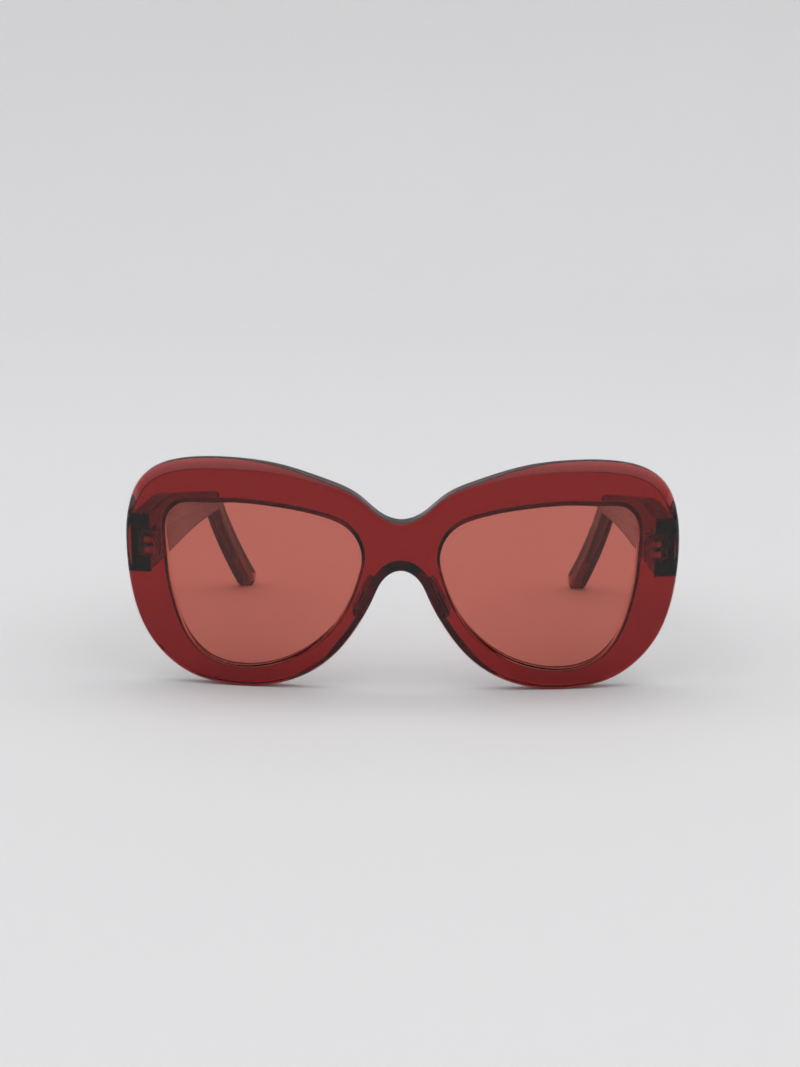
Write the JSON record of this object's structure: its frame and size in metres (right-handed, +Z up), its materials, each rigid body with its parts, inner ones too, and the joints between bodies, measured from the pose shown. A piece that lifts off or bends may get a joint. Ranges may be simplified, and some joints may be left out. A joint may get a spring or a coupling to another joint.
{
  "type": "cat eye sunglasses",
  "caption": "Oversized cat eye sunglasses: thick translucent red acetate front and folding temples, rose-brown tinted lenses, sunk metal hinges, standing open.",
  "frame": {"origin": "on the table under the middle of the object's bounding box, glasses standing open on their lower rims and temple tips", "axes": "+Z up, -Y the way the front faces (temples reach back along +Y), +X to the right of somebody who looks at the front"},
  "size_m": [0.1466, 0.148, 0.0626],
  "materials": {
    "acetate": "polished translucent deep red cellulose acetate",
    "lens_tint": "smooth rose-brown tinted lens",
    "hinge_metal": "nickel silver, tumbled",
    "screw_steel": "turned steel",
    "core_wire": "rolled nickel silver, satin"
  },
  "bodies": {
    "front": {"front_frame": "acetate", "lens_left": "lens_tint", "lens_right": "lens_tint", "nose_pad_left": "acetate", "nose_pad_right": "acetate", "hinge_front_leaf_left": "hinge_metal", "hinge_front_leaf_right": "hinge_metal"},
    "temple_arm_left": {"temple_left": "acetate", "temple_core_left": "core_wire", "hinge_temple_leaf_left": "hinge_metal", "hinge_screw_left": "screw_steel"},
    "temple_arm_right": {"temple_right": "acetate", "temple_core_right": "core_wire", "hinge_temple_leaf_right": "hinge_metal", "hinge_screw_right": "screw_steel"}
  },
  "joints": [
    {"name": "fold_right", "type": "hinge", "parent": "front", "child": "temple_arm_right", "pos_m": [0.0653, -0.05624, 0.0382], "axis": [0, 0, 1], "range_deg": [0, 82]},
    {"name": "fold_left", "type": "hinge", "parent": "front", "child": "temple_arm_left", "pos_m": [-0.0653, -0.05624, 0.0382], "axis": [0, 0, -1], "range_deg": [0, 64]}
  ]
}
